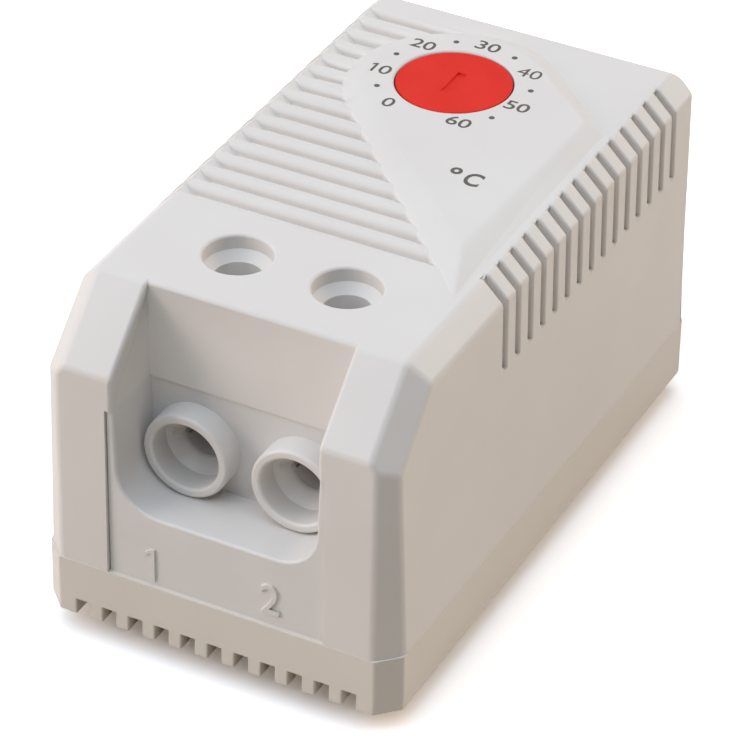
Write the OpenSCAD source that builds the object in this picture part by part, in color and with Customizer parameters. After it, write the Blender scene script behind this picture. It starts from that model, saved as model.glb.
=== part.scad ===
// Compact bimetal temperature switch for a 35 mm top-hat rail, in millimetres.
// X is the width, Y the length with the terminal end at -Y, Z is up from the rail hooks.

/* [Enclosure] */
// Width of the base across the long sides
body_w = 34.6; // [33:0.1:37]
// Length of the base from the terminal end to the rear
body_l = 60; // [56:0.1:66]
// Height from the bottom of the skirt to the top face
body_h = 32.2; // [31:0.1:36]
// Height of the base strip up to the parting line
base_h = 5.8; // [5.5:0.1:6.4]
// How far the cover sits inside the outline of the base, each side
cover_inset = 0.2; // [0.1:0.05:0.4]
// Wall thickness of the cover and the base
wall = 1.7; // [1.5:0.1:1.9]
// Thickness of the top of the cover
roof = 1.9; // [1.7:0.1:2.1]
// Bevel along the two long top edges and down the sides of the brow
edge_bevel = 1.95; // [1.5:0.05:2.2]
// Bevel on the two upright edges of the terminal end
corner_bevel = 1.9; // [1.6:0.05:2.2]
// How far the long sides of the cover spread from the top bevel to the parting line
side_draft = 0.5; // [0.3:0.05:0.7]
// Rounding of the rear top edge
rear_top_round = 1.1; // [0.8:0.1:1.3]
// Rounding of the two upright rear edges
rear_round = 1.2; // [0.8:0.1:1.6]
// How far the sloped brow over the terminals runs back and down
brow = 6.3; // [5.8:0.1:6.6]

/* [Vents] */
// Number of grooves and slots in a row
vent_count = 15; // [9:2:15]
// Spacing of the grooves and slots
vent_pitch = 2.47; // [2.3:0.01:2.5]
// Width of each groove and slot
vent_w = 1; // [0.9:0.05:1.2]
// Distance of the last groove from the rear face
vent_end = 4.3; // [3.8:0.1:4.6]
// Depth of the blind grooves in the top
groove_depth = 0.8; // [0.5:0.05:1]
// Height of the slots down the sides, from the top face
slot_drop = 8.7; // [8:0.1:10]

/* [Dial] */
// Place of the dial across the width
dial_x = -1.35; // [-1.8:0.05:-0.8]
// Distance of the dial from the rear face
dial_set = 13; // [12.5:0.1:13.2]
// Radius of the dial face
dial_r = 5.3; // [5:0.05:5.6]
// Gap around the dial in its hole
dial_clear = 0.12; // [0.1:0.01:0.3]
// Height of the plateau above the top face
plateau_h = 0.9; // [0.6:0.05:1.2]
// Radius of the round part of the plateau at its top
plateau_r = 8.2; // [7.9:0.1:8.7]
// Width of the bevel around the round part of the plateau
plateau_bevel = 1.9; // [1.4:0.1:2]
// Distance from the dial to the front tip of the plateau
plateau_reach = 30.3; // [29:0.1:32]
// Length of the bevel at that tip
plateau_tip = 7.1; // [6:0.1:8]
// Distance of the plateau's foot from the long bevel on the right
plateau_gap = 0.9; // [0.7:0.1:1.2]
// Width of the plateau's bevel along the right side
plateau_side = 2.7; // [2.2:0.1:3]
// Depth of the screwdriver slot in the dial
dial_slot = 0.25; // [0.15:0.05:0.4]
// Radius of the hub under the dial
hub_r = 2.6; // [2.3:0.1:3]
// Width of the dial's flange beyond its face
dial_flange = 1; // [0.8:0.1:1.4]

/* [Terminals] */
// Spacing of the two terminals
pole_pitch = 10.45; // [10:0.05:10.6]
// Distance of the clamp screws from the front of the cover
pole_set = 13.7; // [13.5:0.1:13.9]
// Radius of the bores over the clamp screws
access_r = 2.15; // [1.9:0.05:2.2]
// Radius of the wider mouth of those bores
mouth_r = 3.05; // [2.8:0.05:3.1]
// Depth of that mouth
mouth_depth = 1.4; // [1:0.1:1.6]
// Length of the cone from the mouth to the bore
mouth_cone = 0.8; // [0.6:0.1:1]
// Wall of the chimneys below those bores
chimney_wall = 1.3; // [1:0.1:1.5]
// Half width of the terminal recess between the cheeks
recess_half = 9.8; // [9.4:0.1:10]
// Height of the recess floor above the skirt
recess_floor = 12.8; // [12.6:0.1:13.1]
// Height of the insert's upper edge above the skirt
insert_top = 22.6; // [22.2:0.1:23]
// Thickness of the insert's upright sides
insert_wall = 0.8; // [0.7:0.05:0.9]
// How far the insert's sides stand in from the cheeks
insert_step = 0.2; // [0.1:0.05:0.3]
// How far the numbered panel sits behind the cheeks
panel_inset = 0.5; // [0.3:0.05:0.7]
// Thickness of the panel and the recess floor
panel_t = 1.6; // [1.4:0.1:1.8]
// Gap at the seams around the insert
seam = 0.1; // [0.05:0.01:0.15]
// Rounding of the lower recess corners
recess_round = 4; // [3:0.1:4.4]
// Length of the insert's block behind the recess
block_l = 11; // [10.6:0.1:11.4]
// Height of the wire entries above the skirt
wire_z = 17; // [16.9:0.05:17.4]
// Inner radius of the wire collars
collar_r = 3.2; // [2.9:0.05:3.3]
// Wall thickness of the wire collars
collar_wall = 0.9; // [0.7:0.05:1]
// How far the wire collars stand out of the back wall
collar_out = 2.4; // [2:0.1:2.6]
// Length of the funnel from a collar to its wire bore
funnel_l = 1.8; // [1.6:0.1:2]
// Radius of the wire bore behind the collar
wire_r = 1.7; // [1.5:0.05:1.8]

/* [Clamps] */
// Radius of the clamp screws
screw_r = 1.5; // [1.4:0.05:1.6]
// Radial play between a clamp screw and its cage
screw_play = 0.02; // [0.01:0.01:0.04]
// Radius of the clamp screw heads
head_r = 2.3; // [2.25:0.05:2.4]
// Height of the clamp screw heads
head_h = 1.7; // [1.5:0.1:1.8]
// Gap around the clamp screw heads
head_clear = 0.15; // [0.1:0.05:0.2]
// How far a cage can rise
cage_lift = 2; // [1.6:0.1:2.1]
// Thickness of the cage side walls
cage_wall = 0.9; // [0.8:0.05:1]
// Length of a cage along the wire
cage_l = 6.2; // [5.8:0.1:6.4]
// Thickness of the cage's threaded top
cage_top_t = 1.4; // [1.2:0.1:1.6]
// Gap between a cage and its chamber
cage_clear = 0.55; // [0.3:0.05:0.6]
// Width of the current bars in the clamps
bar_w = 3.4; // [3:0.1:3.6]
// Thickness of the current bars
bar_t = 1; // [0.8:0.05:1.1]
// Gap between a current bar and its slot or cage
bar_clear = 0.05; // [0.03:0.01:0.1]

/* [Switch] */
// Width of the bimetal strip
strip_w = 5; // [4:0.1:5.6]
// Thickness of the bimetal strip
strip_t = 0.6; // [0.4:0.05:0.7]
// Length of the strip's root under its bar
root_l = 4; // [3.6:0.1:4.4]
// Gap between the root of the strip and the rear wall
root_gap = 1; // [0.8:0.1:1.4]
// Radius of the contact rivets
contact_r = 1.4; // [1.1:0.05:1.6]
// Height of the contact rivets
contact_h = 1.1; // [0.9:0.05:1.3]
// Gap between the two contacts when they are closed
contact_gap = 0.05; // [0.03:0.01:0.1]
// Distance of the contacts from the insert's block
contact_set = 7.4; // [7:0.1:8]
// Gap between the magnet and the armature
magnet_gap = 0.35; // [0.3:0.05:0.5]
// Radius of the setting spindle
spindle_r = 1.5; // [1.3:0.05:1.6]
// Radial play between the spindle and the plunger
spindle_play = 0.05; // [0.03:0.01:0.08]
// Side of the square setting plunger
plunger_w = 6; // [5.6:0.1:6.2]
// Height of the setting plunger
plunger_h = 3.9; // [3.6:0.1:4.2]
// Play on each side of the plunger in its guide
plunger_play = 0.06; // [0.04:0.01:0.1]
// How far the plunger moves up and down from the middle setting
plunger_travel = 0.84; // [0.7:0.02:0.9]
// Thickness of the bridge plate
bridge_t = 1.9; // [1.7:0.1:2.1]
// Distance of the bridge below the roof
bridge_drop = 4.8; // [4.6:0.1:5]
// Width of the bridge plate along the length
bridge_l = 9; // [8.6:0.1:9.4]

/* [Rail foot] */
// Width of the rail between its outer edges
rail_w = 35; // [35:0.1:35]
// Gap for the edge of the rail between the skirt and a hook
rail_gap = 1.2; // [1.1:0.05:1.3]
// Thickness of the hook lips
hook_lip = 1.2; // [1:0.05:1.4]
// How far a hook lip reaches under the rail
hook_reach = 1.2; // [1:0.05:1.4]
// Play between the rail edges and the hooks, each side
rail_play = 0.1; // [0.05:0.05:0.3]
// Thickness of the hook webs
hook_web = 2; // [1.6:0.1:2.4]
// Width of a fixed hook
hook_w = 6; // [5:0.1:7]
// Distance of the fixed hooks from the middle
hook_x = 9; // [8:0.1:9.5]
// Width of the springing latch
latch_w = 10; // [8:0.1:12]
// Thickness of the base's deck
deck_t = 1.2; // [1:0.1:1.4]
// Height of the space under the deck
deck_under = 3.2; // [3:0.1:3.4]
// Width of the ribs and posts of the base
rib_w = 1.5; // [1.2:0.1:1.8]
// Number of square notches in the front skirt
notch_count = 11; // [7:2:11]
// Spacing of the notches
notch_pitch = 2.61; // [2.5:0.01:2.65]
// Width of a notch
notch_w = 1.3; // [1:0.05:1.5]
// Height of a notch
notch_h = 1.6; // [1.2:0.1:2]

/* [Hidden] */
$fn = 64;
// Overlap that keeps cuts and joined solids clean
eps = 0.1;
skirt_z = rail_gap + hook_lip;
// Outside and inside of the cover
cover_w = body_w - 2 * cover_inset;
cover_l = body_l - 2 * cover_inset;
shoulder_w = cover_w - 2 * side_draft;
front_y = -cover_l / 2;
rear_y = cover_l / 2;
edge_x = shoulder_w / 2 - edge_bevel;
wall_y = front_y + brow + 0.15;
inner_w = shoulder_w - 2 * wall;
inner_rear = rear_y - wall;
inner_front = wall_y + roof - eps;
ceiling = body_h - roof;
deck_z = deck_under + deck_t;
plateau_z = body_h + plateau_h;
dial_y = rear_y - dial_set;
// Insert and clamps
insert_half = recess_half + insert_wall - insert_step;
insert_wall_y = wall_y + insert_step;
block_rear = inner_front + block_l;
pole_x = pole_pitch / 2;
pole_y = front_y + pole_set;
bar_z = wire_z + wire_r + 0.2;
cage_in = wire_z - wire_r - 0.9;
cage_half = bar_w / 2 + 0.6 + cage_wall;
cage_top = bar_z + bar_t + 0.9;
chamber_top = cage_top + cage_top_t + cage_lift + 0.2;
chamber_front = pole_y - cage_l / 2 - cage_clear;
// Switch, hung below the level of the current bars
strip_top = bar_z - contact_gap - 2 * contact_h - eps / 2;
root_end = inner_rear - root_gap;
contact_y = block_rear + contact_set;
plunger_foot = strip_top + plunger_travel + 0.15;
bridge_top = ceiling - bridge_drop;
guide_low = plunger_foot + 1.7;
side_x = inner_w / 2 - 2.2;

// Outline seen from above: bevelled corners at the front, rounded ones at the rear.
module plan_2d(w, l) {
    union() {
        polygon([[-w / 2 + corner_bevel, -l / 2], [w / 2 - corner_bevel, -l / 2],
                 [w / 2, -l / 2 + corner_bevel], [w / 2, l / 2 - rear_round],
                 [w / 2 - rear_round, l / 2], [-w / 2 + rear_round, l / 2],
                 [-w / 2, l / 2 - rear_round], [-w / 2, -l / 2 + corner_bevel]]);
        for (s = [-1, 1])
            translate([s * (w / 2 - rear_round), l / 2 - rear_round])
                circle(r = rear_round);
    }
}

// Cross-section of the cover: drafted sides that end in two bevels at the top.
module section_2d() {
    shoulder_z = body_h - edge_bevel;
    polygon([[-cover_w / 2, base_h], [cover_w / 2, base_h], [shoulder_w / 2, shoulder_z],
             [edge_x, body_h], [-edge_x, body_h], [-shoulder_w / 2, shoulder_z]]);
}

// Cross-section of the brow, hung from y = 0: a flat with a bevel down each side.
module brow_2d() {
    drop = 2 * body_h;
    polygon([[-edge_x, 0], [-edge_x - drop, -drop], [edge_x + drop, -drop], [edge_x, 0]]);
}

// Side view of the cover behind the brow, with the rear top edge rounded.
module profile_2d() {
    r = rear_top_round;
    union() {
        translate([front_y, 0])
            square([cover_l - r, body_h]);
        translate([front_y, 0])
            square([cover_l, body_h - r]);
        translate([rear_y - r, body_h - r])
            circle(r = r);
    }
}

// Solid outside of the cover, with the drafted sides, the long bevels and the sloped brow.
module cover_block() {
    intersection() {
        translate([0, 0, base_h])
            linear_extrude(height = body_h - base_h)
                plan_2d(cover_w, cover_l);
        rotate([90, 0, 0])
            linear_extrude(height = 2 * body_l, center = true)
                section_2d();
        rotate([90, 0, 90])
            linear_extrude(height = 2 * body_w, center = true)
                profile_2d();
        translate([0, front_y + brow, body_h])
            rotate([45, 0, 0])
                rotate([90, 0, 0])
                    linear_extrude(height = 3 * body_l, center = true)
                        brow_2d();
    }
}

// Raised plateau that carries the scale, with bevels all round it, cut flat at the top.
module plateau() {
    tip_y = dial_y - plateau_reach;
    foot_x = edge_x - plateau_gap;
    top_x = foot_x - plateau_side;
    intersection() {
        hull() {
            translate([0, 0, body_h - groove_depth - eps])
                linear_extrude(height = groove_depth + eps) {
                    translate([dial_x, dial_y])
                        circle(r = plateau_r + plateau_bevel);
                    polygon([[foot_x, tip_y], [foot_x, dial_y - 0.8], [dial_x, dial_y]]);
                }
            translate([0, 0, plateau_z + 0.02])
                linear_extrude(height = eps) {
                    translate([dial_x, dial_y])
                        circle(r = plateau_r);
                    polygon([[top_x, tip_y + plateau_tip], [top_x + 0.7, dial_y - 0.6],
                             [dial_x, dial_y]]);
                }
        }
        translate([-body_w, -body_l, 0])
            cube([2 * body_w, 2 * body_l, plateau_z]);
    }
}

// Place of a groove or slot along the length, counted from the rear.
function vent_y(i) = rear_y - vent_end - i * vent_pitch;

// Right-hand end of a groove, well under the plateau.
function groove_end(y) = dial_x + max(0, (dial_y - 9 - y) * 0.8);

// Stepped bore that lets a screwdriver down to a clamp screw.
module access_bore() {
    rotate_extrude()
        polygon([[0, chamber_top], [access_r, chamber_top],
                 [access_r, body_h - mouth_depth - mouth_cone], [mouth_r, body_h - mouth_depth],
                 [mouth_r, body_h + 1], [0, body_h + 1]]);
}

// Upper moulding with the sloped brow, grooves, vent slots, plateau and screw bores.
module housing() {
    cheek_w = inner_w / 2 - insert_half - wall;
    color([0.88, 0.87, 0.86])
    translate([0, 0, skirt_z])
    difference() {
        union() {
            difference() {
                cover_block();
                // Blind grooves from the left edge to the plateau.
                for (i = [0 : vent_count - 1])
                    translate([-cover_w, vent_y(i) - vent_w / 2, body_h - groove_depth])
                        cube([cover_w + groove_end(vent_y(i)), vent_w, 2 * groove_depth]);
                // Space inside, open at the bottom, and the hollows of the cheeks.
                translate([-inner_w / 2, inner_front, 0])
                    cube([inner_w, inner_rear - inner_front, ceiling]);
                for (s = [-1, 1])
                    translate([s * (inner_w / 2 - cheek_w / 2) - cheek_w / 2, front_y + wall, 0])
                        cube([cheek_w, inner_front - front_y, body_h - brow - wall]);
            }
            plateau();
            // Chimneys between the roof and the clamp screws.
            for (s = [-1, 1])
                translate([s * pole_x, pole_y, chamber_top + head_h + 0.3])
                    cylinder(r = access_r + chimney_wall, h = ceiling - chamber_top - head_h - 0.2);
            // Ribs that hang the guide bridge from the roof.
            for (s = [-1, 1])
                translate([s * (inner_w / 2 - 1.6) - 1.7, dial_y - 4, bridge_top])
                    cube([3.4, 8, bridge_drop + eps]);
        }
        // Terminal recess and the seat of the insert below it.
        translate([-recess_half, front_y - wall, insert_top])
            cube([2 * recess_half, wall_y - front_y + wall, body_h]);
        translate([-insert_half - seam, front_y - wall, 0])
            cube([2 * insert_half + 2 * seam, inner_front - front_y + wall + eps, insert_top + seam]);
        // Vent slots through the long bevels and sides.
        for (i = [0 : vent_count - 1])
            for (s = [-1, 1])
                translate([s * (edge_x + 2 * edge_bevel - 0.15) - 2 * edge_bevel,
                           vent_y(i) - vent_w / 2, body_h - slot_drop])
                    cube([4 * edge_bevel, vent_w, 2 * slot_drop]);
        for (s = [-1, 1])
            translate([s * pole_x, pole_y, 0])
                access_bore();
        translate([dial_x, dial_y, ceiling - eps])
            cylinder(r = dial_r + dial_clear, h = body_h);
    }
}

// Lower moulding: notched skirt, deck, posts for the bars and the rail hooks.
module base() {
    hook_y = rail_w / 2 + rail_play;
    in_l = cover_l - 2 * wall;
    color([0.85, 0.84, 0.83])
    translate([0, 0, skirt_z]) {
        difference() {
            linear_extrude(height = base_h)
                plan_2d(body_w, body_l);
            translate([0, 0, deck_z])
                linear_extrude(height = base_h)
                    plan_2d(inner_w, in_l);
            translate([0, 0, -eps])
                linear_extrude(height = deck_under + eps)
                    plan_2d(inner_w, in_l);
            for (i = [0 : notch_count - 1])
                translate([(i - (notch_count - 1) / 2) * notch_pitch - notch_w / 2,
                           -body_l / 2 - wall, -eps])
                    cube([notch_w, 3 * wall, notch_h + eps]);
        }
        for (s = [-1, 1]) {
            // Ribs that bear on the rail, and the two fixed hooks.
            translate([s * 8 - rib_w / 2, hook_reach - hook_y, 0])
                cube([rib_w, 2 * hook_y - 2 * hook_reach, deck_under + eps]);
            translate([s * hook_x - hook_w / 2, hook_y, -skirt_z])
                cube([hook_w, hook_web, skirt_z + deck_under + eps]);
            translate([s * hook_x - hook_w / 2, hook_y - hook_reach, -skirt_z])
                cube([hook_w, hook_reach + eps, hook_lip]);
        }
        // Springing latch at the terminal end of the rail.
        translate([-latch_w / 2, -hook_y - hook_web, -skirt_z])
            cube([latch_w, hook_web, skirt_z + deck_under + eps]);
        translate([-latch_w / 2, -hook_y - eps, -skirt_z])
            cube([latch_w, hook_reach + eps, hook_lip]);
        // Posts under the bimetal bar.
        translate([side_x - 6.5, root_end - root_l + 0.4, deck_z - eps])
            cube([2 * rib_w, root_l - 1, bar_z - deck_z + eps]);
        translate([side_x - 0.9, block_rear + 10, deck_z - eps])
            cube([rib_w, 2 * rib_w, bar_z - deck_z + eps]);
    }
}

// Cross-section of the recess: open at the top with rounded lower corners.
module recess_2d() {
    half = insert_half - insert_wall;
    union() {
        translate([-half, recess_floor + recess_round])
            square([2 * half, body_h]);
        translate([-half + recess_round, recess_floor])
            square([2 * (half - recess_round), body_h]);
        for (s = [-1, 1])
            translate([s * (half - recess_round), recess_floor + recess_round])
                circle(r = recess_round);
    }
}

// Insert at the terminal end: panel, recess floor, wire collars and clamp chambers.
module terminal_block() {
    panel_y = front_y + panel_inset;
    mouth_y = insert_wall_y - collar_out;
    color([0.82, 0.82, 0.82])
    translate([0, 0, skirt_z])
    difference() {
        union() {
            // Trough between the cheeks.
            difference() {
                translate([-insert_half, panel_y, recess_floor - panel_t])
                    cube([2 * insert_half, inner_front - panel_y, insert_top - recess_floor + panel_t]);
                translate([0, insert_wall_y, 0])
                    rotate([90, 0, 0])
                        linear_extrude(height = body_l)
                            recess_2d();
            }
            // Numbered panel below the trough, standing on the base.
            translate([-insert_half, panel_y, base_h])
                cube([2 * insert_half, panel_t, recess_floor - base_h - eps]);
            // Block with the two clamp chambers.
            translate([-insert_half, inner_front - eps, deck_z])
                cube([2 * insert_half, block_l + eps, insert_top - deck_z]);
            translate([-insert_half, inner_front + eps, insert_top - eps])
                cube([2 * insert_half, block_l - eps, chamber_top + head_h + 0.2 - insert_top + eps]);
            for (s = [-1, 1])
                translate([s * pole_x, mouth_y, wire_z])
                    rotate([-90, 0, 0])
                        cylinder(r = collar_r + collar_wall, h = collar_out + eps);
        }
        for (s = [-1, 1]) {
            // Wire collar, its funnel and the bore into the clamp.
            translate([s * pole_x, mouth_y, wire_z])
                rotate([-90, 0, 0])
                    rotate_extrude()
                        polygon([[0, -1], [collar_r, -1], [collar_r, collar_out],
                                 [wire_r, collar_out + funnel_l], [wire_r, chamber_front - mouth_y + 1],
                                 [0, chamber_front - mouth_y + 1]]);
            // Chamber of the cage, the seat of the screw head and the slot of the bar.
            translate([s * pole_x - cage_half - 0.3, chamber_front, deck_z - eps])
                cube([2 * cage_half + 0.6, cage_l + 2 * cage_clear, chamber_top - deck_z + eps]);
            translate([s * pole_x, pole_y, chamber_top - eps])
                cylinder(r = head_r + head_clear, h = 2 * head_h);
            translate([s * pole_x - bar_w / 2 - bar_clear, pole_y, bar_z])
                cube([bar_w + 2 * bar_clear, block_rear - pole_y + eps, bar_t + bar_clear]);
        }
    }
}

// Turning knob: face with a slot, flange under the roof and a hub on the bridge.
module dial() {
    face_z = plateau_z - eps;
    color([0.86, 0.2, 0.17])
    translate([dial_x, dial_y, skirt_z])
    difference() {
        union() {
            translate([0, 0, ceiling - 0.2])
                cylinder(r = dial_r, h = face_z - ceiling + 0.2);
            translate([0, 0, ceiling - 1.5])
                cylinder(r = dial_r + dial_flange, h = 1.35);
            translate([0, 0, bridge_top + bar_clear])
                cylinder(r = hub_r, h = bridge_drop - 1);
        }
        translate([-0.45, -1.8, face_z - dial_slot])
            cube([0.9, 3.6, 2 * dial_slot]);
        translate([0, 0, bridge_top - eps])
            cylinder(r = spindle_r + screw_play, h = 2.5 + eps);
    }
}

// Threaded stem of the dial, drawn as a plain pin.
module dial_spindle() {
    low_z = plunger_foot + 0.8 + plunger_travel + 0.3;
    color([0.8, 0.66, 0.35])
    translate([dial_x, dial_y, skirt_z + low_z])
        cylinder(r = spindle_r, h = bridge_top + 2.5 - low_z);
}

// Square nut that the spindle raises and lowers above the strip.
module set_plunger() {
    color([0.93, 0.92, 0.88])
    translate([dial_x, dial_y, skirt_z + plunger_foot])
    difference() {
        union() {
            translate([-plunger_w / 2, -plunger_w / 2, 0.5])
                cube([plunger_w, plunger_w, plunger_h]);
            cylinder(r = 1.2, h = 0.6);
        }
        translate([0, 0, 0.8])
            cylinder(r = spindle_r + spindle_play, h = 2 * plunger_h);
    }
}

// Plate under the dial with the square guide of the plunger.
module guide_bridge() {
    inner = plunger_w + 2 * plunger_play;
    guide_z = bridge_top - bridge_t;
    half = inner_w / 2 - 1.3;
    color([0.72, 0.72, 0.7])
    translate([dial_x, dial_y, skirt_z])
    difference() {
        union() {
            translate([-half - dial_x, -bridge_l / 2, guide_z])
                cube([2 * half, bridge_l, bridge_t]);
            translate([-inner / 2 - 1.1, -inner / 2 - 1.1, guide_low])
                cube([inner + 2.2, inner + 2.2, guide_z - guide_low + eps]);
        }
        translate([-inner / 2, -inner / 2, guide_low - eps])
            cube([inner, inner, guide_z - guide_low + eps]);
        cylinder(r = spindle_r + 0.25, h = body_h);
    }
}

// Strip of two bonded metals, fixed at the rear and free at the front.
module bimetal_strip() {
    tip_y = block_rear + 3.9;
    color([0.74, 0.7, 0.62])
    translate([dial_x - strip_w / 2, tip_y, skirt_z + strip_top - strip_t])
        cube([strip_w, root_end - tip_y, strip_t]);
}

// Two rivets that hold the root of the strip to its bar.
module root_rivets() {
    color([0.7, 0.7, 0.72])
    for (s = [-1, 1])
        translate([dial_x + s * 1.3, root_end - root_l / 2, skirt_z + strip_top - strip_t - 0.5])
            cylinder(r = 0.8, h = 0.5);
}

// Silvered rivet near the free end of the strip.
module moving_contact() {
    color([0.86, 0.86, 0.84])
    translate([dial_x, contact_y, skirt_z + strip_top])
        cylinder(r = contact_r, h = contact_h + eps / 2);
}

// Steel tongue on the free end of the strip, below the magnet.
module armature() {
    color([0.6, 0.61, 0.63])
    translate([dial_x - 2, block_rear + 0.6, skirt_z + strip_top])
        cube([4, 4.4, 0.5]);
}

// Small magnet on the clamp block that makes the switching snap.
module snap_magnet() {
    color([0.3, 0.3, 0.32])
    translate([dial_x - 2, block_rear, skirt_z + strip_top + 0.5 + magnet_gap])
        cube([4, 2.6, 3]);
}

// Silvered rivet on the underside of the contact bar.
module fixed_contact() {
    color([0.86, 0.86, 0.84])
    translate([dial_x, contact_y, skirt_z + bar_z - contact_h])
        cylinder(r = contact_r, h = contact_h);
}

// Current bar from clamp 1 to the fixed contact.
module contact_bar() {
    start_y = chamber_front + 0.4;
    left_x = -pole_x - bar_w / 2;
    color([0.78, 0.6, 0.35])
    translate([0, 0, skirt_z + bar_z]) {
        translate([left_x, start_y, 0])
            cube([bar_w, contact_y + 2.5 - start_y, bar_t]);
        translate([left_x, contact_y - 2.5, 0])
            cube([dial_x + 2.2 - left_x, 5, bar_t]);
    }
}

// Current bar from clamp 2 along the side to the root of the strip.
module bimetal_bar() {
    start_y = chamber_front + 0.4;
    turn_y = block_rear + 2;
    left_x = pole_x - bar_w / 2;
    root_x = dial_x - strip_w / 2;
    color([0.78, 0.6, 0.35])
    translate([0, 0, skirt_z + bar_z]) {
        translate([left_x, start_y, 0])
            cube([bar_w, turn_y + 1 - start_y, bar_t]);
        translate([left_x, turn_y, 0])
            cube([side_x + 1.3 - left_x, 3, bar_t]);
        translate([side_x - 1.3, turn_y, 0])
            cube([2.6, root_end - turn_y, bar_t]);
        translate([root_x, root_end - root_l, 0])
            cube([side_x + 1.3 - root_x, root_l, bar_t]);
        translate([root_x, root_end - root_l, strip_top - bar_z])
            cube([strip_w, root_l, bar_z - strip_top + eps]);
    }
}

// Rising cage that lifts the wire against the bar, open along the wire.
module cage(s) {
    floor_t = 1.2;
    color([0.66, 0.67, 0.69])
    translate([s * pole_x, pole_y, skirt_z])
    difference() {
        translate([-cage_half, -cage_l / 2, cage_in - floor_t])
            cube([2 * cage_half, cage_l, cage_top + cage_top_t - cage_in + floor_t]);
        translate([cage_wall - cage_half, -cage_l, cage_in])
            cube([2 * (cage_half - cage_wall), 2 * cage_l, cage_top - cage_in]);
        translate([0, 0, cage_in + eps])
            cylinder(r = screw_r + screw_play, h = body_h);
    }
}

module clamp_cage_1() {
    cage(-1);
}

module clamp_cage_2() {
    cage(1);
}

// Slotted clamp screw that turns in place, drawn with a plain shank.
module clamp_screw(s) {
    tip_z = bar_z + bar_t + bar_clear;
    color([0.74, 0.75, 0.77])
    translate([s * pole_x, pole_y, skirt_z])
    difference() {
        union() {
            translate([0, 0, tip_z])
                cylinder(r = screw_r, h = chamber_top + eps - tip_z);
            translate([0, 0, chamber_top + 0.02])
                cylinder(r = head_r, h = head_h);
        }
        translate([-0.4, -head_r - eps, chamber_top + head_h / 2])
            cube([0.8, 2 * head_r + 2 * eps, head_h]);
    }
}

module clamp_screw_1() {
    clamp_screw(-1);
}

module clamp_screw_2() {
    clamp_screw(1);
}

housing();
base();
terminal_block();
dial();
dial_spindle();
set_plunger();
guide_bridge();
bimetal_strip();
root_rivets();
moving_contact();
armature();
snap_magnet();
fixed_contact();
contact_bar();
bimetal_bar();
clamp_cage_1();
clamp_cage_2();
clamp_screw_1();
clamp_screw_2();
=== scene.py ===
import math
import bmesh
import bpy
from mathutils import Matrix, Vector


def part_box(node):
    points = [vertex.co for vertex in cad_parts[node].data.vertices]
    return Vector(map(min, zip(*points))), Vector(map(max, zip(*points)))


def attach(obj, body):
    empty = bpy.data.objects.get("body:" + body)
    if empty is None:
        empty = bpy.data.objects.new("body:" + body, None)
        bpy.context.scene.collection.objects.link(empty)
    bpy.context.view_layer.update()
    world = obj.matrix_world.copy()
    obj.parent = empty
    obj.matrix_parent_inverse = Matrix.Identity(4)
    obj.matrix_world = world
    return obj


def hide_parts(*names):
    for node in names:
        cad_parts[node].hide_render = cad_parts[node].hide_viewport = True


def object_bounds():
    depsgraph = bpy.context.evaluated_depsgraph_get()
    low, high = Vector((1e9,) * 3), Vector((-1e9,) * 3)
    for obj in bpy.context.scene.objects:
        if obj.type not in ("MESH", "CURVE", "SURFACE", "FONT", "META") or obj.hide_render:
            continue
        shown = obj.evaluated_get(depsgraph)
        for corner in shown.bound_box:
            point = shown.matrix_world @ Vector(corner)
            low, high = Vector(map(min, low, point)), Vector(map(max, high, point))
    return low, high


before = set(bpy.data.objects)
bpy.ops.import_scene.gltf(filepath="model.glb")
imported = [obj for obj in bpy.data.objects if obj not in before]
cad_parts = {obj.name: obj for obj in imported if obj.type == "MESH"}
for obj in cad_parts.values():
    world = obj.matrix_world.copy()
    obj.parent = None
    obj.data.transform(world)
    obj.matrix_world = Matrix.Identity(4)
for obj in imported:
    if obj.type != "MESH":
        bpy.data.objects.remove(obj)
cad_low, cad_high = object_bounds()

# Camera: a long lens from above the terminal end, turned a little to the right of it.
# Its place and angle were fitted to the corners, bores and dial in the photograph.
bpy.ops.object.select_all(action="DESELECT")
bpy.ops.object.camera_add()
camera = bpy.context.object
camera.name = "photo_camera"
camera.data.lens = 198.58
camera.data.sensor_width = 36.0
camera.data.clip_start = 0.01
turn = Matrix.Rotation(math.radians(27.086), 4, "Z")
tilt = Matrix.Rotation(math.radians(90 - 34.840), 4, "X")
roll = Matrix.Rotation(math.radians(0.958), 4, "Z")
camera.matrix_world = Matrix.Translation((0.13515, -0.26615, 0.22257)) @ turn @ tilt @ roll
bpy.context.scene.camera = camera

# Floor: a plain white studio sheet under the hooks. The camera sees it some three times as bright
# as it lights the part, so that it goes to white and still keeps the part's shadow.
bpy.context.scene.view_settings.view_transform = "Standard"


def linear(hex_code):
    """Linear colour of an sRGB hex value."""
    parts = [int(hex_code[i:i + 2], 16) / 255 for i in (1, 3, 5)]
    return [c / 12.92 if c <= 0.04045 else ((c + 0.055) / 1.055) ** 2.4 for c in parts] + [1.0]


def add(tree, kind, inputs=(), **settings):
    """Adds a node, sets its options, and fills its sockets with values or links."""
    made = tree.nodes.new(kind)
    for option, value in settings.items():
        setattr(made, option, value)
    for socket, value in dict(inputs).items():
        if isinstance(value, bpy.types.NodeSocket):
            tree.links.new(value, made.inputs[socket])
        else:
            made.inputs[socket].default_value = value
    return made


def looked_at(tree):
    """1 for rays that see a thing straight, mirrored or through glass, and 0 for its light."""
    ray = add(tree, "ShaderNodeLightPath")
    seen = ray.outputs["Is Camera Ray"]
    for other in ("Is Glossy Ray", "Is Transmission Ray"):
        seen = add(tree, "ShaderNodeMath", {0: seen, 1: ray.outputs[other]}, operation="MAXIMUM").outputs[0]
    return seen


def blank(name):
    """New material with an empty node tree."""
    made = bpy.data.materials.new(name)
    made.use_nodes = True
    made.node_tree.nodes.clear()
    return made


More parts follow.
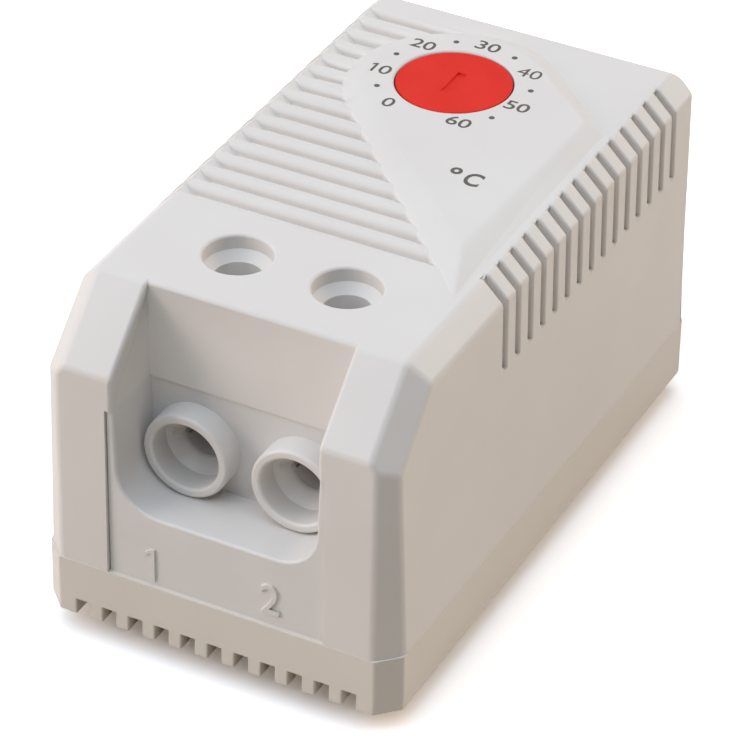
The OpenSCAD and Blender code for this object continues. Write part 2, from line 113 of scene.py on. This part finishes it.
bpy.ops.object.select_all(action="DESELECT")
bpy.ops.mesh.primitive_plane_add(size=4, location=(0, 0, 0))
floor = bpy.context.object
floor.name = "studio_floor"
sheet = blank("white_paper_sweep")
tree = sheet.node_tree
paper = add(tree, "ShaderNodeBsdfDiffuse", {"Color": linear("#C8BBA9")})
bright = add(tree, "ShaderNodeBsdfDiffuse", {"Color": (1.6, 1.6, 1.6, 1.0)})
mix = add(tree, "ShaderNodeMixShader", {0: looked_at(tree), 1: paper.outputs[0], 2: bright.outputs[0]})
add(tree, "ShaderNodeOutputMaterial", {"Surface": mix.outputs[0]})
floor.data.materials.append(sheet)

# Light: a wide soft box overhead and a warmer one at each side, with little from the camera, so
# that the upright front corners stay darker than the faces they join. The floor fills from below.
world = bpy.data.worlds.new("studio")
bpy.context.scene.world = world
world.use_nodes = True
tree = world.node_tree
tree.nodes.clear()
fill = add(tree, "ShaderNodeBackground", {"Color": linear("#FFE6CC"), "Strength": 0.02})
white = add(tree, "ShaderNodeBackground", {"Color": linear("#FFFFFF"), "Strength": 1.0})
mix = add(tree, "ShaderNodeMixShader", {0: looked_at(tree), 1: fill.outputs[0], 2: white.outputs[0]})
add(tree, "ShaderNodeOutputWorld", {"Surface": mix.outputs[0]})
aim = Vector((0, 0, 0.015))
for name, place, size, watts, tint in (("top_box", (-0.10, -0.16, 0.78), 1.20, 8.10, "#E6F2FF"),
                                       ("left_box", (-0.675, -0.47, 0.31), 0.50, 3.95, "#FFEFE6"),
                                       ("right_box", (0.56, 0.64, 0.42), 0.50, 4.55, "#FFEEDE")):
    bpy.ops.object.light_add(type="AREA", location=place)
    lamp = bpy.context.object
    lamp.name = name
    lamp.data.size = size
    lamp.data.energy = watts
    lamp.data.color = linear(tint)[:3]
    lamp.rotation_euler = (aim - Vector(place)).to_track_quat("-Z", "Y").to_euler()

# Cover: the upper half of the case, moulded in one shot from light grey ABS, snapped on the
# base. Every outward edge leaves the mould with a small round, which catches a thin line of light.
mm = 0.001


def merged_copy(node, piece):
    """Copy of a CAD node with its loose triangles merged to whole flat faces."""
    bpy.ops.object.select_all(action="DESELECT")
    made = bpy.data.objects.new(piece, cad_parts[node].data.copy())
    bpy.context.scene.collection.objects.link(made)
    made.data.materials.clear()
    made.select_set(True)
    bpy.context.view_layer.objects.active = made
    bpy.ops.mesh.customdata_custom_splitnormals_clear()
    bpy.ops.object.mode_set(mode="EDIT")
    bpy.ops.mesh.select_mode(type="VERT")
    bpy.ops.mesh.select_all(action="SELECT")
    bpy.ops.mesh.remove_doubles(threshold=0.002 * mm)
    bpy.ops.mesh.dissolve_limited(angle_limit=math.radians(0.2))
    bpy.ops.object.mode_set(mode="OBJECT")
    return made


def round_edges(made, radius, share, gentle=lambda place: False):
    """Rounds outward edges to radius times share(place, out); obtuse ones only where gentle(place)."""
    mesh = bmesh.new()
    mesh.from_mesh(made.data)
    weight = mesh.edges.layers.float.new("bevel_weight_edge")
    for edge in mesh.edges:
        bend = math.degrees(edge.calc_face_angle(0))
        place = (edge.verts[0].co + edge.verts[1].co) / 2
        if edge.is_convex and (bend > 30 or bend > 12 and gentle(place)):
            edge[weight] = share(place, sum((face.normal for face in edge.link_faces), Vector()))
        edge.smooth = edge[weight] > 0 or bend < 11
    mesh.to_mesh(made.data)
    mesh.free()
    moulded = made.modifiers.new("moulded_edges", "BEVEL")
    moulded.limit_method = "WEIGHT"
    moulded.width = radius
    moulded.segments = 3
    moulded.use_clamp_overlap = False
    moulded.loop_slide = False
    bpy.ops.object.modifier_apply(modifier=moulded.name)
    bpy.ops.object.shade_smooth(keep_sharp_edges=True)
    even = made.modifiers.new("flat_faces_stay_flat", "WEIGHTED_NORMAL")
    even.keep_sharp = True
    bpy.ops.object.modifier_apply(modifier=even.name)


cover = merged_copy("housing", "cover_moulding")
# The foot and the rim of the plateau are rings of short facets, and some end a hair away from the
# next corner: those are welded to it, so that the rounds have room.
dial_low, dial_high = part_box("dial")
dial_x = (dial_low.x + dial_high.x) / 2
dial_y = (dial_low.y + dial_high.y) / 2
plateau_h = 0.9 * mm
foot_radius = 10.1 * mm
hole_clear = 6.5 * mm
top_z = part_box("housing")[1].z - plateau_h


def from_dial(place):
    return math.hypot(place.x - dial_x, place.y - dial_y)


def on_foot(place):
    return abs(from_dial(place) - foot_radius) < 0.15 * mm and abs(place.z - top_z) < plateau_h


def plateau_rim(place):
    return place.z > top_z + 0.8 * mm and from_dial(place) > hole_clear


bpy.ops.object.mode_set(mode="EDIT")
for ring_part in (on_foot, plateau_rim):
    bpy.ops.mesh.select_all(action="DESELECT")
    mesh = bmesh.from_edit_mesh(cover.data)
    for point in mesh.verts:
        point.select = ring_part(point.co)
    mesh.select_flush_mode()
    bmesh.update_edit_mesh(cover.data)
    bpy.ops.mesh.remove_doubles(threshold=0.35 * mm)
bpy.ops.object.mode_set(mode="OBJECT")

# The moulding spreads a little more at its foot, so that it meets the base almost flush, and the
# plateau leaves room for the film of ink on it.
flare = 0.16 * mm
flare_x = 16.9 * mm
flare_y = 29.6 * mm
parting_z = 8.3 * mm
ink_room = 0.012 * mm
for point in cover.data.vertices:
    if point.co.z > cad_high.z - ink_room:
        point.co.z -= ink_room
    if point.co.z < parting_z:
        point.co.x += flare * ((point.co.x > flare_x) - (point.co.x < -flare_x))
        point.co.y += flare * ((point.co.y > flare_y) - (point.co.y < -flare_y))

# The vent slots on the right are moulded narrower than a full groove, with wide soft lips.
vent_half = 0.5 * mm
lip_in = 0.13 * mm
side_x = 14.0 * mm
slot_low = 25.5 * mm
vents = [25.5 * mm - 2.47 * mm * step for step in range(15)]
for point in cover.data.vertices:
    for vent in vents:
        lip = point.co.y - vent
        on_lip = abs(abs(lip) - vent_half) < 0.02 * mm
        if on_lip and point.co.x > side_x and point.co.z > slot_low:
            point.co.y -= math.copysign(lip_in, lip)

# The inside of the shell, the inner cheeks and the seat of the insert keep sharp edges.
cover_round = 0.60 * mm
pole_x = 5.225 * mm
bore_y = -16.1 * mm
bore_reach = 3.5 * mm
bulkhead = -21.5 * mm
hollow_half, hollow_rear, hollow_top = 15.0 * mm, 28.2 * mm, 32.8 * mm
cheek_in, cheek_out, cheek_front, cheek_top = 10.3 * mm, 15.2 * mm, -29.3 * mm, 26.4 * mm
seat_half, seat_top = 10.7 * mm, 25.3 * mm
grooves_front, grooves_rear = -12.0 * mm, 27.0 * mm


def cover_share(place, out):
    x, y, z = abs(place.x), place.y, place.z
    hollow = x < hollow_half and bulkhead - 0.1 * mm < y < hollow_rear and z < hollow_top
    cheek = cheek_in < x < cheek_out and cheek_front < y < bulkhead and z < cheek_top
    seat = x < seat_half and y < bulkhead and z < seat_top
    if hollow or cheek or seat or on_foot(place) or z < parting_z:
        return 0.0
    if plateau_rim(place):
        return 0.6
    if z > 30 * mm and math.hypot(x - pole_x, y - bore_y) < bore_reach:
        return 0.5
    groove = abs(z - top_z) < 0.05 * mm and x < side_x and grooves_front < y < grooves_rear
    if groove and abs(out.x) < 0.2:
        return 0.85 if out.y < 0 else 0.6
    return 0.7 if y < grooves_front else 0.42


round_edges(cover, cover_round, cover_share, plateau_rim)


def noise(tree, size, detail=2.0, drawn=1.0):
    """Noise in object space about size wide, stretched along Y where drawn is below 1."""
    place = add(tree, "ShaderNodeTexCoord").outputs["Object"]
    if drawn < 1.0:
        along = add(tree, "ShaderNodeMapping", {"Vector": place, "Scale": (1.0, drawn, 1.0)})
        place = along.outputs["Vector"]
    made = add(tree, "ShaderNodeTexNoise", {"Vector": place, "Scale": 1 / size, "Detail": detail})
    return made.outputs["Fac"]


def ramp(tree, factor, dark, light, low=0.0, high=1.0):
    """Colour between two sRGB hex values, as a factor goes from low to high."""
    made = add(tree, "ShaderNodeValToRGB", {"Fac": factor})
    for end, position, colour in zip(made.color_ramp.elements, (low, high), (dark, light)):
        end.position = position
        end.color = linear(colour)
    return made.outputs["Color"]


def between(tree, factor, low, high):
    """A value that follows a factor between two limits."""
    made = add(tree, "ShaderNodeMapRange", {"Value": factor, "To Min": low, "To Max": high})
    return made.outputs["Result"]


def shade(tree, inputs):
    """Ends a material in a principled surface."""
    body = add(tree, "ShaderNodeBsdfPrincipled", inputs)
    add(tree, "ShaderNodeOutputMaterial", {"Surface": body.outputs[0]})


def moulded_plastic(name, dark, light, flow, grain, detail, rough, bump, ior, gloss):
    """Plastic with a slow drift of tone from the flow of the melt and a fine grain from the mould."""
    made = blank(name)
    tree = made.node_tree
    fine = noise(tree, grain, detail)
    relief = add(tree, "ShaderNodeBump", {"Height": fine, "Strength": bump, "Distance": 0.02 * mm})
    shade(tree, {"Base Color": ramp(tree, noise(tree, flow), dark, light, 0.3, 0.7),
                 "Roughness": between(tree, fine, *rough), "Normal": relief.outputs["Normal"],
                 "IOR": ior, "Specular IOR Level": gloss})
    return made


# A spark-eroded mould leaves a satin with a fine grain; it is drawn at 0.35 mm, far coarser
# than the real one, so that it shows.
abs_cover = moulded_plastic("abs_light_grey_satin", "#DEDAD6", "#E2DFDB", flow=14 * mm, grain=0.35 * mm,
                            detail=3.0, rough=(0.42, 0.56), bump=0.08, ior=1.52, gloss=0.25)
cover.data.materials.append(abs_cover)
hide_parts("housing")
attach(cover, "frame")

# Left rim: on the left the long bevel runs through unbroken over the vents and the grooves fade
# out before it, so a bar of the same ABS fills the slots there and slopes down into the grooves.
rim_front = -10.2 * mm
rim_long = 37.2 * mm
bpy.ops.object.select_all(action="DESELECT")
bpy.ops.mesh.primitive_plane_add(size=1)
rim = bpy.context.object
rim.name = "left_vent_rim"
section = [(-15.3, 32.75), (-16.5, 32.75), (-13.3, 33.7), (-14.70, 34.55)]
for point, (x, z) in zip(rim.data.vertices, section):
    point.co = (x * mm, rim_front, z * mm)
bpy.ops.object.mode_set(mode="EDIT")
bpy.ops.mesh.select_all(action="SELECT")
bpy.ops.mesh.extrude_region_move(TRANSFORM_OT_translate={"value": (0, rim_long, 0)})
bpy.ops.mesh.select_all(action="SELECT")
bpy.ops.mesh.normals_make_consistent(inside=False)
bpy.ops.object.mode_set(mode="OBJECT")
rim.data.materials.append(abs_cover)
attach(rim, "frame")

# Base: the lower half of the case with its notched skirt and rail hooks, a slightly warmer batch of
# ABS from a second mould. It stands a hair outside the cover, which draws the parting line.
foot = merged_copy("base", "base_moulding")
base_round = 0.18 * mm
base_top = 8.0 * mm
skirt_low = 2.45 * mm


def base_share(place, out):
    outer = max(abs(place.x) / cad_high.x, abs(place.y) / cad_high.y) > 0.985
    return 1.0 if outer and place.z < base_top or place.z < skirt_low else 0.0


round_edges(foot, base_round, base_share)
abs_base = moulded_plastic("abs_warm_grey_satin", "#DAD4CC", "#DED9D1", flow=14 * mm, grain=0.35 * mm,
                           detail=3.0, rough=(0.42, 0.56), bump=0.08, ior=1.52, gloss=0.25)
foot.data.materials.append(abs_base)
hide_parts("base")
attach(foot, "frame")

# Terminal insert: a smoother, slightly cooler grey moulding pushed in between the cheeks, with
# the trough, the wire collars and the clamp chambers in one piece.
insert = merged_copy("terminal_block", "terminal_insert")

# The front of the insert comes nearly level with the cheeks, its upper edge closes up to the
# cover, and the wire bores open a little behind the funnels.
panel_out = 0.25 * mm
panel_front = -29.2 * mm
wire_z = 19.4 * mm
wire_r, wire_wide = 1.7 * mm, 2.2 * mm
wire_back = -19.0 * mm
recess_back = -21.4 * mm
insert_top, insert_lift = 25.0 * mm, 0.09 * mm
shoulder_x, shoulder_wide = 9.6 * mm, 9.8 * mm
for point in insert.data.vertices:
    side = math.copysign(1, point.co.x)
    across = Vector((point.co.x - side * pole_x, point.co.z - wire_z))
    if abs(point.co.z - insert_top) < 0.05 * mm and point.co.y < recess_back:
        point.co.z += insert_lift
        if abs(abs(point.co.x) - shoulder_x) < 0.1 * mm:
            point.co.x = side * shoulder_wide
    elif abs(across.length - wire_r) < 0.05 * mm and point.co.y < wire_back:
        point.co.x = side * pole_x + across.x * wire_wide / wire_r
        point.co.z = wire_z + across.y * wire_wide / wire_r
    if point.co.y < panel_front:
        point.co.y -= panel_out

insert_round = 0.30 * mm
insert_half = 10.2 * mm
edge_top = 24.8 * mm


def rim_share(place, out):
    front = place.y < recess_back and abs(place.x) < insert_half
    return 1.0 if front and parting_z < place.z < edge_top else 0.0


round_edges(insert, insert_round, rim_share)
# Polyamide from a polished mould: a closer sheen than the cover, and no grain to speak of.
pa_insert = moulded_plastic("polyamide_grey_smooth", "#D8D5D2", "#DCDAD7", flow=9 * mm, grain=0.6 * mm,
                            detail=2.0, rough=(0.32, 0.42), bump=0.05, ior=1.53, gloss=0.35)
insert.data.materials.append(pa_insert)
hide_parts("terminal_block")
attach(insert, "frame")

# Terminal numbers: two raised figures moulded with the panel below the trough, in its own grey.
# They only show by the light on their edges.
cap_share = 0.729


def lettering(words, wide, high, thick, weight=0.0, soft=0.0):
    """Text of a given size and weight, turned to a solid mesh that stands on z = 0."""
    bpy.ops.object.select_all(action="DESELECT")
    bpy.ops.object.text_add()
    made = bpy.context.object
    made.data.body = words
    made.data.size = high / cap_share
    made.data.offset = weight
    made.data.extrude = thick / 2 - soft
    made.data.bevel_depth = soft
    made.data.bevel_resolution = 1
    made.data.resolution_u = 6
    bpy.ops.object.convert(target="MESH")
    made = bpy.context.object
    low = [min(v.co[i] for v in made.data.vertices) for i in range(3)]
    top = [max(v.co[i] for v in made.data.vertices) for i in range(3)]
    made.data.transform(Matrix.Translation([-(low[i] + top[i]) / 2 for i in (0, 1)] + [-low[2]]))
    made.data.transform(Matrix.Diagonal((wide / (top[0] - low[0]), high / (top[1] - low[1]), 1, 1)))
    return made


def figure_one(high, stroke, reach, thick):
    """Figure 1 with a flag, drawn out of a plane: its flag first, then its thickness."""
    bpy.ops.object.select_all(action="DESELECT")
    bpy.ops.mesh.primitive_plane_add(size=1)
    made = bpy.context.object
    bpy.ops.object.mode_set(mode="EDIT")
    bpy.ops.mesh.select_all(action="SELECT")
    bpy.ops.transform.resize(value=(stroke, high, 1))
    bpy.ops.mesh.bisect(plane_co=(0, high / 2 - stroke, 0), plane_no=(0, 1, 0))
    bpy.ops.mesh.select_mode(type="EDGE")
    bpy.ops.mesh.select_all(action="DESELECT")
    mesh = bmesh.from_edit_mesh(made.data)
    for edge in mesh.edges:
        edge.select = all(v.co.x < 0 and v.co.y > high / 2 - 1.1 * stroke for v in edge.verts)
    bmesh.update_edit_mesh(made.data)
    bpy.ops.mesh.extrude_region_move(TRANSFORM_OT_translate={"value": (-reach, -0.75 * reach, 0)})
    bpy.ops.mesh.select_all(action="SELECT")
    bpy.ops.mesh.extrude_region_move(TRANSFORM_OT_translate={"value": (0, 0, thick)})
    bpy.ops.mesh.select_all(action="SELECT")
    bpy.ops.mesh.normals_make_consistent(inside=False)
    bpy.ops.object.mode_set(mode="OBJECT")
    return made


def joined(parts, name):
    """Joins the meshes of a list of objects to one piece."""
    bpy.ops.object.select_all(action="DESELECT")
    for part in parts:
        part.select_set(True)
    bpy.context.view_layer.objects.active = parts[0]
    bpy.ops.object.join()
    made = bpy.context.object
    made.name = name
    made.data.materials.clear()
    return made


number_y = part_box("terminal_block")[0].y - panel_out + 0.05 * mm
upright = Matrix.Rotation(math.pi / 2, 4, "X")
one = figure_one(3.3 * mm, 0.36 * mm, 0.62 * mm, 0.24 * mm)
one.data.transform(Matrix.Translation((-6.1 * mm, number_y, 10.33 * mm)) @ upright)
two = lettering("2", 1.8 * mm, 3.1 * mm, 0.26 * mm, soft=0.06 * mm)
two.data.transform(Matrix.Translation((5.3 * mm, number_y, 10.9 * mm)) @ upright)
numbers = joined([one, two], "terminal_numbers")
numbers.data.materials.append(pa_insert)
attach(numbers, "frame")

# Setting dial: a red moulded disc, flush with the plateau, with a shallow screwdriver slot.
# It is turned from above and hides its flange and hub under the cover.
knob = merged_copy("dial", "setting_dial")
knob_round = 0.10 * mm
slot_half = 2.0 * mm
slot_floor = dial_high.z - 0.25 * mm
slot_lift = 0.05 * mm
for point in knob.data.vertices:
    if from_dial(point.co) < slot_half and abs(point.co.z - slot_floor) < 0.05 * mm:
        point.co.z += slot_lift


def dial_share(place, out):
    return 1.0 if from_dial(place) > slot_half else 0.6


round_edges(knob, knob_round, dial_share)
# Acetal with a full pigment: even colour, a soft sheen and only a trace of flow in the tone.
red = moulded_plastic("pom_signal_red", "#DA2A1E", "#E03024", flow=5 * mm, grain=0.4 * mm,
                      detail=2.0, rough=(0.40, 0.52), bump=0.05, ior=1.48, gloss=0.15)
knob.data.materials.append(red)
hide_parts("dial")
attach(knob, "dial")

# Scale: pad-printed figures, dots and the degree sign round the dial, in a dark brown-grey ink
# that lies as a thin film on the plateau and keeps its place when the dial turns.
film = 0.02 * mm
centre = Vector((dial_x, dial_y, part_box("housing")[1].z - film))
ring = 7.0 * mm
first_figure = 240
first_dot = 215
between_figures = 50
digit_high = 1.5 * mm
digit_wide = 1.12 * mm
pair_wide = 2.3 * mm
pair_shift = 0.55 * mm
zero_weight = 0.015 * mm
pair_weight = 0.02 * mm


def on_ring(degrees):
    """Place on the ring of the scale, at an angle counted from +X."""
    angle = math.radians(degrees)
    return centre + Vector((ring * math.cos(angle), ring * math.sin(angle), 0))


def ink_ring(radius, hole):
    """Flat printed disc, or a ring where it has a hole, from a filled circle."""
    bpy.ops.object.select_all(action="DESELECT")
    bpy.ops.mesh.primitive_circle_add(vertices=24, radius=radius, fill_type="NGON")
    made = bpy.context.object
    bpy.ops.object.mode_set(mode="EDIT")
    if hole:
        bpy.ops.mesh.select_all(action="SELECT")
        bpy.ops.mesh.inset(thickness=radius - hole)
        bpy.ops.mesh.delete(type="FACE")
    bpy.ops.mesh.select_all(action="SELECT")
    bpy.ops.mesh.extrude_region_move(TRANSFORM_OT_translate={"value": (0, 0, film)})
    bpy.ops.mesh.select_all(action="SELECT")
    bpy.ops.mesh.normals_make_consistent(inside=False)
    bpy.ops.object.mode_set(mode="OBJECT")
    return made


prints = []
for step in range(7):
    if step == 0:
        marks = [(lettering("0", digit_wide, digit_high, film, weight=zero_weight), 0)]
    elif step == 1:
        marks = [(figure_one(digit_high, 0.24 * mm, 0.26 * mm, film), -pair_shift),
                 (lettering("0", digit_wide, digit_high, film, weight=zero_weight), pair_shift)]
    else:
        # A heavier 4 would lose its counter.
        weight = 0.0 if step == 4 else pair_weight
        marks = [(lettering(str(10 * step), pair_wide, digit_high, film, weight=weight), 0)]
    spot = on_ring(first_figure - between_figures * step)
    for mark, shift in marks:
        mark.data.transform(Matrix.Translation(spot + Vector((shift, 0, 0))))
        prints.append(mark)
for step in range(6):
    dot = ink_ring(0.27 * mm, 0)
    dot.data.transform(Matrix.Translation(on_ring(first_dot - between_figures * step)))
    prints.append(dot)
degree = ink_ring(0.55 * mm, 0.22 * mm)
degree.data.transform(Matrix.Translation(centre + Vector((6.97 * mm, -13.42 * mm, 0))))
prints.append(degree)
unit = lettering("C", 1.6 * mm, 2.1 * mm, film, weight=0.06 * mm)
unit.data.transform(Matrix.Translation(centre + Vector((8.89 * mm, -14.05 * mm, 0))))
prints.append(unit)
scale = joined(prints, "printed_scale")
# Two-part printing ink: nearly matt, a little uneven where the pad left less of it.
ink = blank("pad_print_ink_brown_grey")
tree = ink.node_tree
tone = ramp(tree, noise(tree, 0.5 * mm), "#4A4440", "#5A534E", 0.3, 0.7)
shade(tree, {"Base Color": tone, "Roughness": 0.6})
scale.data.materials.append(ink)
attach(scale, "frame")


# Clamps: bright zinc-plated steel screws and rising cages, turned and pressed, loose in the
# chambers of the insert. They show at the bottom of the two screwdriver bores.
def metal(name, dark, light, size, detail, rough, drawn=1.0):
    """Bare metal whose tone and roughness follow the same noise."""
    made = blank(name)
    tree = made.node_tree
    cloud = noise(tree, size, detail, drawn)
    shade(tree, {"Base Color": ramp(tree, cloud, dark, light),
                 "Roughness": between(tree, cloud, *rough), "Metallic": 1.0})
    return made


def dress(material, *nodes):
    """Gives CAD nodes their material."""
    for node in nodes:
        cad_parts[node].data.materials.clear()
        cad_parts[node].data.materials.append(material)


# Plating over turned or pressed steel: bluish white, with a cloudy roughness about 1 mm wide.
zinc = metal("zinc_plated_steel", "#B9BCC0", "#CDD0D2", 1.0 * mm, 3.0, (0.24, 0.42))
dress(zinc, "clamp_screw_1", "clamp_screw_2", "clamp_cage_1", "clamp_cage_2", "root_rivets", "armature")

# Current bars and spindle: stamped brass strip and a turned brass stem, hidden under the cover.
# The yellow metal has faint lines along the rolling direction.
brass = metal("rolled_brass", "#C39A4E", "#DCBB74", 0.3 * mm, 3.0, (0.25, 0.40), drawn=0.05)
dress(brass, "contact_bar", "bimetal_bar", "dial_spindle")

# Bimetal strip: two rolled alloys bonded face to face, warm grey with long rolling lines. It is
# riveted to its bar at the rear and carries the contact and the steel tongue.
bimetal = metal("rolled_bimetal", "#A39A8A", "#BFB7A8", 0.25 * mm, 3.0, (0.28, 0.45), drawn=0.04)
dress(bimetal, "bimetal_strip")

# Contacts: two cold-headed silver rivets, one on the strip and one on the contact bar.
silver = metal("contact_silver", "#DAD8D2", "#EEEDE9", 0.6 * mm, 2.0, (0.18, 0.30))
dress(silver, "moving_contact", "fixed_contact")

# Magnet: a small pressed and sintered ferrite block, charcoal grey and slightly grainy.
ferrite = blank("sintered_ferrite")
tree = ferrite.node_tree
tone = ramp(tree, noise(tree, 0.12 * mm, 3.0), "#2C2C2E", "#47474A")
shade(tree, {"Base Color": tone, "Roughness": 0.55})
dress(ferrite, "snap_magnet")

# Guide bridge and plunger: plain polyamide mouldings under the dial, the plunger left in the
# natural ivory of the plastic. The bridge is trapped between the cover's ribs and the hub.
natural = blank("polyamide_natural")
tree = natural.node_tree
tone = ramp(tree, noise(tree, 3 * mm), "#E2DCCB", "#ECE7DA")
shade(tree, {"Base Color": tone, "Roughness": 0.42, "IOR": 1.53})
dress(natural, "set_plunger")
dress(pa_insert, "guide_bridge")
